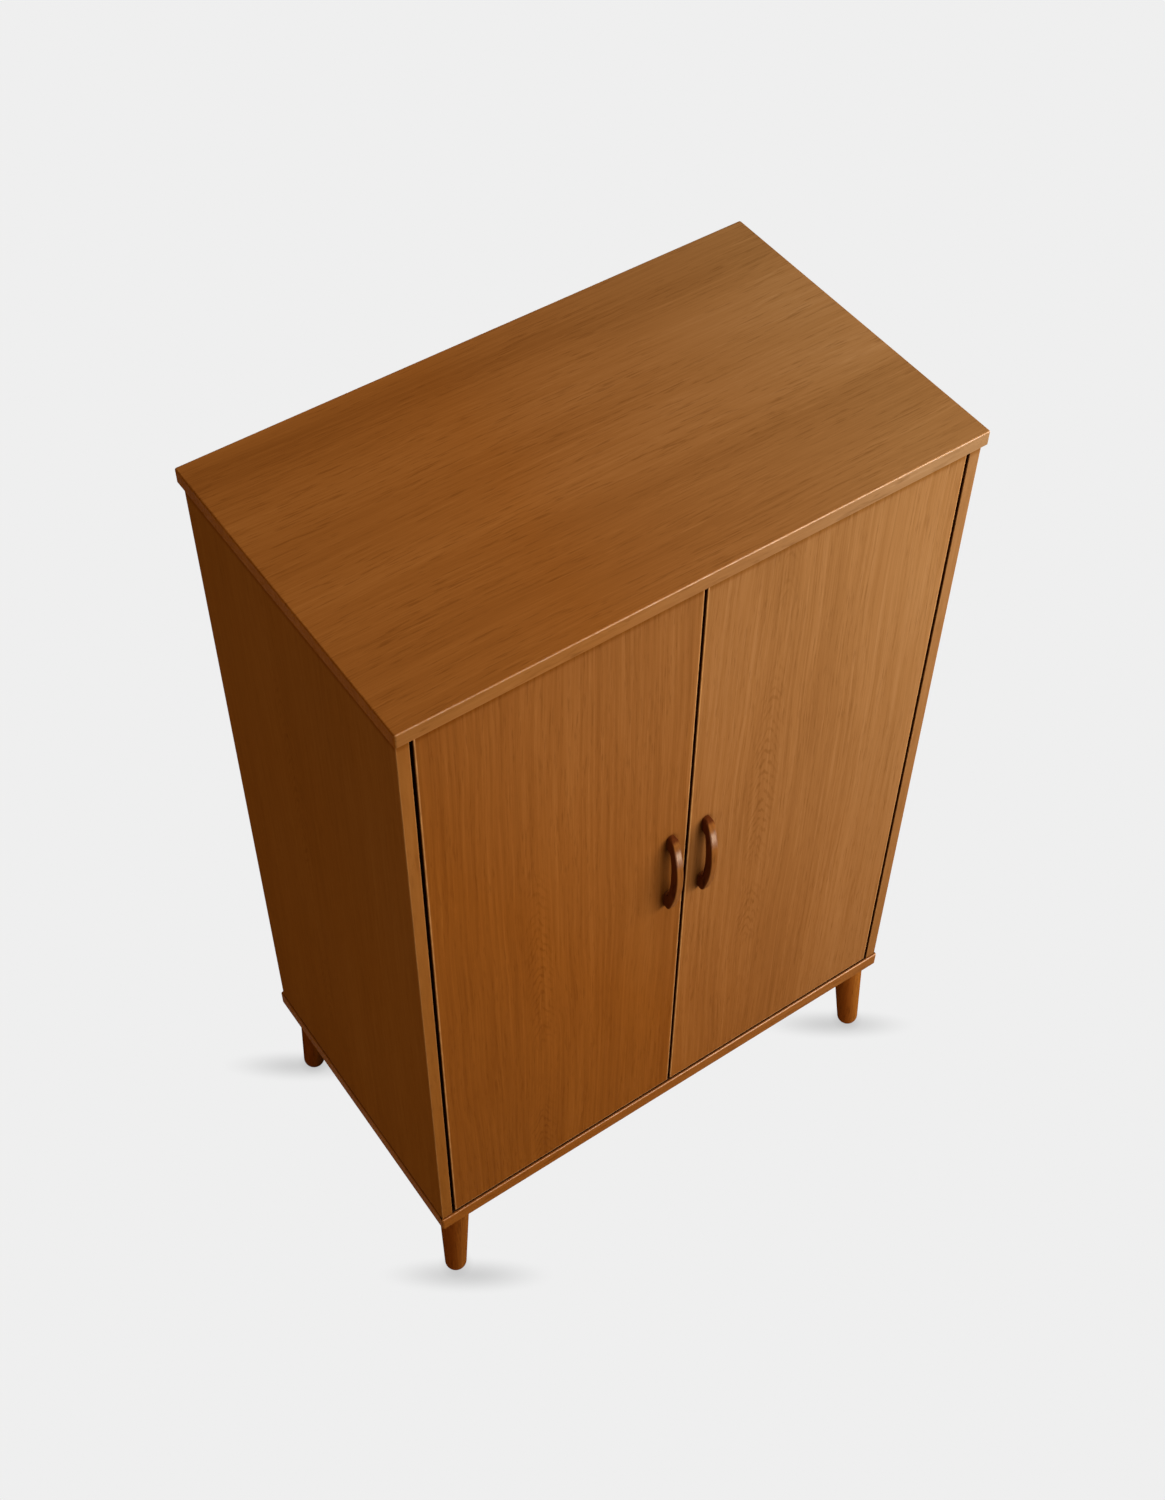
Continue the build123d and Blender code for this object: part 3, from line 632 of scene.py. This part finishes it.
nickel = steel("nickelSteel")
zinc = steel("zincSteel")
for nodeName in nodes:
    if "_hinge_" in nodeName:
        dress(nodeName, nickel)
for nodeName in zincNodes:
    dress(nodeName, zinc)

moulded = {
    "catchPlastic": {
        "node": "catch_housing", "pale": (0.120, 0.066, 0.036), "deep": (0.080, 0.043, 0.023),
        "rough": 0.52, "grain": 1800.0},
    "ferrite": {
        "node": "catch_magnets", "pale": (0.115, 0.113, 0.110), "deep": (0.060, 0.059, 0.058),
        "rough": 0.62, "grain": 1100.0},
}
mouldSkin = {
    "grainRoughness": 0.6, "cloud": {"scale": (110.0, 110.0, 110.0), "detail": 3.0},
    "weight": (0.5, 0.5), "shadeStep": (0.35, 0.65), "spread": 0.2, "bump": (0.3, 0.0001)}


def mouldedPiece(name, look):
    material, tree, surface = newMaterial(name)
    coords = objectCoords(tree)[0]
    grain = noise(tree, coords, (look["grain"],) * 3, roughness=mouldSkin["grainRoughness"])
    cloud = noise(tree, coords, **mouldSkin["cloud"])
    shade = remap(tree, weigh(tree, *zip((grain, cloud), mouldSkin["weight"])), *mouldSkin["shadeStep"])
    marks = place(tree, handlingMarks, {
        "Vector": coords, "Base": look["rough"], "Spread": mouldSkin["spread"]})
    feed(tree, surface["Base Color"], mixColour(tree, shade, tint(look["deep"]), tint(look["pale"])))
    feed(tree, surface["Roughness"], marks["Roughness"])
    bump(tree, surface, grain, *mouldSkin["bump"])
    return material


for mouldName, mouldLook in moulded.items():
    dress(mouldLook["node"], mouldedPiece(mouldName, mouldLook))
print("metal, plastic and magnets finished")

# pan heads with a cross recess, modelled once and copied to each place
screwHead = {
    "radius": 0.0036, "height": 0.0015, "sides": 32,
    "rounding": 0.0011, "roundingSteps": 4, "roundingProfile": 0.55,
    "recessReach": 0.0021, "recessWidth": 0.0008, "recessDepth": 0.0009,
    "smoothAngle": 35, "sunk": 0.0001}
facesAlong = 0.9  # least dot product with a direction for a face to count as facing it


def pickFaces(piece, test):
    bpy.ops.object.mode_set(mode="EDIT")
    bpy.ops.mesh.select_mode(type="FACE")
    bpy.ops.mesh.select_all(action="DESELECT")
    bpy.ops.object.mode_set(mode="OBJECT")
    for face in piece.data.polygons:
        face.select = test(face)
    bpy.ops.object.mode_set(mode="EDIT")


def makeRecessCutter():  # a square peg with its four sides drawn out to a cross
    width = screwHead["recessWidth"]
    bpy.ops.mesh.primitive_cube_add(size=width, location=(0, 0, 0))
    cutter = bpy.context.object
    for direction in (Vector((1, 0, 0)), Vector((-1, 0, 0)), Vector((0, 1, 0)), Vector((0, -1, 0))):
        def pegSide(face):
            return face.normal.dot(direction) > facesAlong and abs(face.center.dot(direction)) < width
        pickFaces(cutter, pegSide)
        reach = direction * (screwHead["recessReach"] - width / 2)
        bpy.ops.mesh.extrude_region_move(TRANSFORM_OT_translate={"value": reach})
        bpy.ops.object.mode_set(mode="OBJECT")
    cutter.scale.z = 2 * screwHead["recessDepth"] / width
    cutter.location.z = screwHead["height"]
    return cutter


def makeScrewHead():
    bpy.ops.mesh.primitive_cylinder_add(
        vertices=screwHead["sides"], radius=screwHead["radius"], depth=screwHead["height"],
        location=(0, 0, screwHead["height"] / 2))
    head = bpy.context.object
    pickFaces(head, lambda face: face.normal.z > facesAlong)
    bpy.ops.mesh.bevel(
        offset=screwHead["rounding"], segments=screwHead["roundingSteps"],
        profile=screwHead["roundingProfile"], affect="EDGES")
    bpy.ops.object.mode_set(mode="OBJECT")
    cutter = makeRecessCutter()
    cut = head.modifiers.new("recess", "BOOLEAN")
    cut.operation = "DIFFERENCE"
    cut.object = cutter
    bpy.context.view_layer.objects.active = head
    bpy.ops.object.modifier_apply(modifier="recess")
    bpy.data.objects.remove(cutter)
    bpy.ops.object.select_all(action="DESELECT")
    head.select_set(True)
    bpy.ops.object.transform_apply(location=True, rotation=True, scale=True)
    bpy.ops.object.shade_smooth_by_angle(angle=math.radians(screwHead["smoothAngle"]))
    return head


hingeHeights = (0.282, 0.6505, 1.019)
handleMiddle = 0.670
facingBack, facingIn, facingDown = (-90, 0, 0), (0, 90, 0), (180, 0, 0)  # turns that point a head's top
screwSets = {  # places on the left-hand side, mirrored for the right
    "CupScrews": {
        "body": "leaf", "slot": "hinge_steel", "turn": facingBack, "scale": 1.0,
        "at": [(-0.310, -0.1815, z + step) for z in hingeHeights for step in (-0.024, 0.024)]},
    "PlateScrews": {
        "body": "carcass", "slot": "hinge_steel", "turn": facingIn, "scale": 1.0,
        "at": [(-0.340, -0.146, z + step) for z in hingeHeights for step in (-0.016, 0.016)]},
    "ArmScrews": {
        "body": "carcass", "slot": "hinge_steel", "turn": facingIn, "scale": 1.15,
        "at": [(-0.3355, -0.15475, z) for z in hingeHeights]},
    "HandleScrews": {
        "body": "leaf", "slot": "bright_steel", "turn": facingBack, "scale": 1.25,
        "at": [(-0.0245, -0.183, handleMiddle + step) for step in (-0.0555, 0.0555)]},
    "CatchScrews": {
        "body": "carcass", "slot": "bright_steel", "turn": facingDown, "scale": 0.9,
        "at": [(-0.0235, -0.1742, 1.129)]},
}
recessTurn = {"left": 40, "right": 65, "step": 17}  # each recess stands where its screw stopped


def placeHead(head, spots, spot, side, lean):  # one copy, with its place in its mesh
    bpy.ops.object.select_all(action="DESELECT")
    head.select_set(True)
    bpy.context.view_layer.objects.active = head
    bpy.ops.object.duplicate()
    copy = bpy.context.object
    x, y, z = spot
    tilt, swing = math.radians(spots["turn"][0]), side * math.radians(spots["turn"][1])
    facing = Matrix.Rotation(swing, 4, "Y") @ Matrix.Rotation(tilt, 4, "X")
    facing = facing @ Matrix.Rotation(math.radians(lean), 4, "Z")
    sized = Matrix.Scale(spots["scale"], 4) @ Matrix.Translation((0, 0, -screwHead["sunk"]))
    copy.matrix_world = Matrix.Translation((side * x, y, z)) @ facing @ sized
    bpy.ops.object.transform_apply(location=True, rotation=True, scale=True)
    return copy


def placeScrews(head):
    for hand, side in (("left", 1), ("right", -1)):
        for kind, spots in screwSets.items():
            copies = []
            for count, spot in enumerate(spots["at"]):
                lean = recessTurn["step"] * count + recessTurn[hand]
                copies.append(placeHead(head, spots, spot, side, lean))
            for copy in copies:
                copy.select_set(True)
            bpy.context.view_layer.objects.active = copies[0]
            if len(copies) > 1:
                bpy.ops.object.join()
            piece = bpy.context.object
            piece.name = hand + kind
            piece.data.name = hand + kind
            piece.data.materials.clear()
            piece.data.materials.append(nickel if spots["slot"] == "hinge_steel" else zinc)
            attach(piece, hand + "_leaf" if spots["body"] == "leaf" else spots["body"])
    bpy.data.objects.remove(head)


placeScrews(makeScrewHead())
print("screws placed")


def backgroundRay(tree):  # 1 for the rays that see the pale background
    path = tree.nodes.new("ShaderNodeLightPath").outputs
    seen = calc(tree, "MAXIMUM", path["Is Camera Ray"], path["Is Glossy Ray"])
    return calc(tree, "MAXIMUM", seen, path["Is Transmission Ray"])


floor = {
    "half": 15.0, "shade": 0.863, "bounce": 0.32, "roughness": 0.9,
    "reach": 0.012, "samples": 16, "contactFrom": 0.3, "contact": 0.15,
    "pools": [(-0.337, -0.210), (0.318, -0.187), (-0.356, 0.192), (0.327, 0.186)],
    "pool": (0.125, 0.029), "poolTurn": -35.0, "poolDepth": 0.275}


def footPool(tree, coords, x, y):  # a soft pool of shadow under one foot
    pool = tree.nodes.new("ShaderNodeMapping")
    pool.vector_type = "TEXTURE"
    feed(tree, pool.inputs["Vector"], coords)
    pool.inputs["Location"].default_value = (x, y, 0.0)
    pool.inputs["Rotation"].default_value = (0.0, 0.0, math.radians(floor["poolTurn"]))
    pool.inputs["Scale"].default_value = (*floor["pool"], 1.0)
    away = vecCalc(tree, "LENGTH", pool.outputs["Vector"])
    return remap(tree, away, 0.0, 1.0, 1.0 - floor["poolDepth"], 1.0)


def makeFloor():
    bpy.ops.mesh.primitive_plane_add(size=2 * floor["half"], location=(0, 0, 0))
    plane = bpy.context.object
    plane.name = "studioFloor"
    material, tree, surface = newMaterial("paleFloor")
    # painted shadow: the floor's glow is darker close to the feet
    near = nearness(tree, floor["reach"], floor["samples"])
    light = remap(tree, near, floor["contactFrom"], 1.0, 1.0 - floor["contact"], 1.0, smooth=False)
    coords = objectCoords(tree)[0]
    for x, y in floor["pools"]:
        light = product(tree, light, footPool(tree, coords, x, y))
    grey = product(tree, light, floor["shade"])
    glow = tree.nodes.new("ShaderNodeEmission")
    feed(tree, glow.inputs["Color"], combine(tree, grey, grey, grey))
    surface["Base Color"].default_value = tint(white, floor["bounce"])
    surface["Roughness"].default_value = floor["roughness"]
    surface["Specular IOR Level"].default_value = 0.0
    choose = tree.nodes.new("ShaderNodeMixShader")
    feed(tree, choose.inputs[0], backgroundRay(tree))
    feed(tree, choose.inputs[1], tree.nodes["Principled BSDF"].outputs[0])
    feed(tree, choose.inputs[2], glow.outputs[0])
    feed(tree, tree.nodes["Material Output"].inputs["Surface"], choose.outputs[0])
    plane.data.materials.append(material)


sky = {"pale": 0.863, "fill": 0.15, "warmth": (1.0, 0.87, 0.70)}


def makeSky():
    world = bpy.data.worlds.new("studioSky")
    scene.world = world
    world.use_nodes = True
    tree = world.node_tree
    background = tree.nodes["Background"]
    seen = backgroundRay(tree)
    strength = remap(tree, seen, 0.0, 1.0, sky["fill"], sky["pale"], smooth=False)
    feed(tree, background.inputs["Color"], mixColour(tree, seen, tint(sky["warmth"]), tint(white)))
    feed(tree, background.inputs["Strength"], strength)


lamps = {
    "keyLamp": {
        "at": (1.355, -1.5, 1.6), "aim": (0.8, -0.2, 0.3), "size": (2.6, 1.0),
        "watts": 68.0, "colour": (1.0, 1.0, 1.06)},
    "topLamp": {
        "at": (0.75, -0.20, 3.6), "aim": (0.1, 0.0, 1.1), "size": (1.6, 1.6),
        "watts": 38.5, "colour": (1.0, 1.0, 1.02)},
    "leftFill": {
        "at": (-3.0, -0.6, 1.0), "aim": (-0.3, 0.0, 0.6), "size": (2.0, 2.0),
        "watts": 16.5, "colour": (1.0, 0.86, 0.66)},
    "backFill": {
        "at": (0.5, 2.6, 0.60), "aim": (0.0, 0.2, 0.60), "size": (1.8, 0.9),
        "watts": 22.0, "colour": (1.0, 0.94, 0.84)},
    "glossCard": {
        "at": (0.338, -0.936, 0.288), "aim": (0.0, -0.22, 0.715), "size": (0.12, 0.12),
        "watts": 0.30, "colour": (1.0, 0.80, 0.58), "glossOnly": True},
}


def makeLamps():
    for name, lamp in lamps.items():
        data = bpy.data.lights.new(name, "AREA")
        data.shape = "RECTANGLE"
        data.size, data.size_y = lamp["size"]
        data.energy = lamp["watts"]
        data.color = lamp["colour"]
        light = bpy.data.objects.new(name, data)
        scene.collection.objects.link(light)
        light.location = lamp["at"]
        light.visible_camera = False
        light.visible_diffuse = not lamp.get("glossOnly")  # the card shows only as a highlight
        towards = Vector(lamp["aim"]) - Vector(lamp["at"])
        light.rotation_euler = towards.to_track_quat("-Z", "Y").to_euler()


camera = {
    "at": (-0.90269, -1.26790, 2.60147), "azimuth": -35.238, "elevation": 51.146, "roll": 0.637,
    "focalPixels": 2070.1, "framePixels": 1500.0, "sensor": 36.0, "clipStart": 0.05}


def makeCamera():
    azimuth, elevation, roll = (math.radians(camera[key]) for key in ("azimuth", "elevation", "roll"))
    outwards = math.cos(elevation)
    back = Vector((math.sin(azimuth) * outwards, -math.cos(azimuth) * outwards, math.sin(elevation)))
    right = Vector((math.cos(azimuth), math.sin(azimuth), 0.0))
    up = back.cross(right)
    rolledRight = right * math.cos(roll) + up * math.sin(roll)
    rolledUp = up * math.cos(roll) - right * math.sin(roll)
    data = bpy.data.cameras.new("photoCamera")
    data.sensor_width = camera["sensor"]
    data.lens = camera["focalPixels"] / camera["framePixels"] * camera["sensor"]
    data.clip_start = camera["clipStart"]
    eye = bpy.data.objects.new("photoCamera", data)
    scene.collection.objects.link(eye)
    turn = Matrix((rolledRight, rolledUp, back)).transposed()
    eye.matrix_world = Matrix.Translation(camera["at"]) @ turn.to_4x4()
    scene.camera = eye


makeFloor()
makeSky()
makeLamps()
makeCamera()
scene.view_settings.view_transform = "Standard"
print("floor, sky, lamps and camera set")
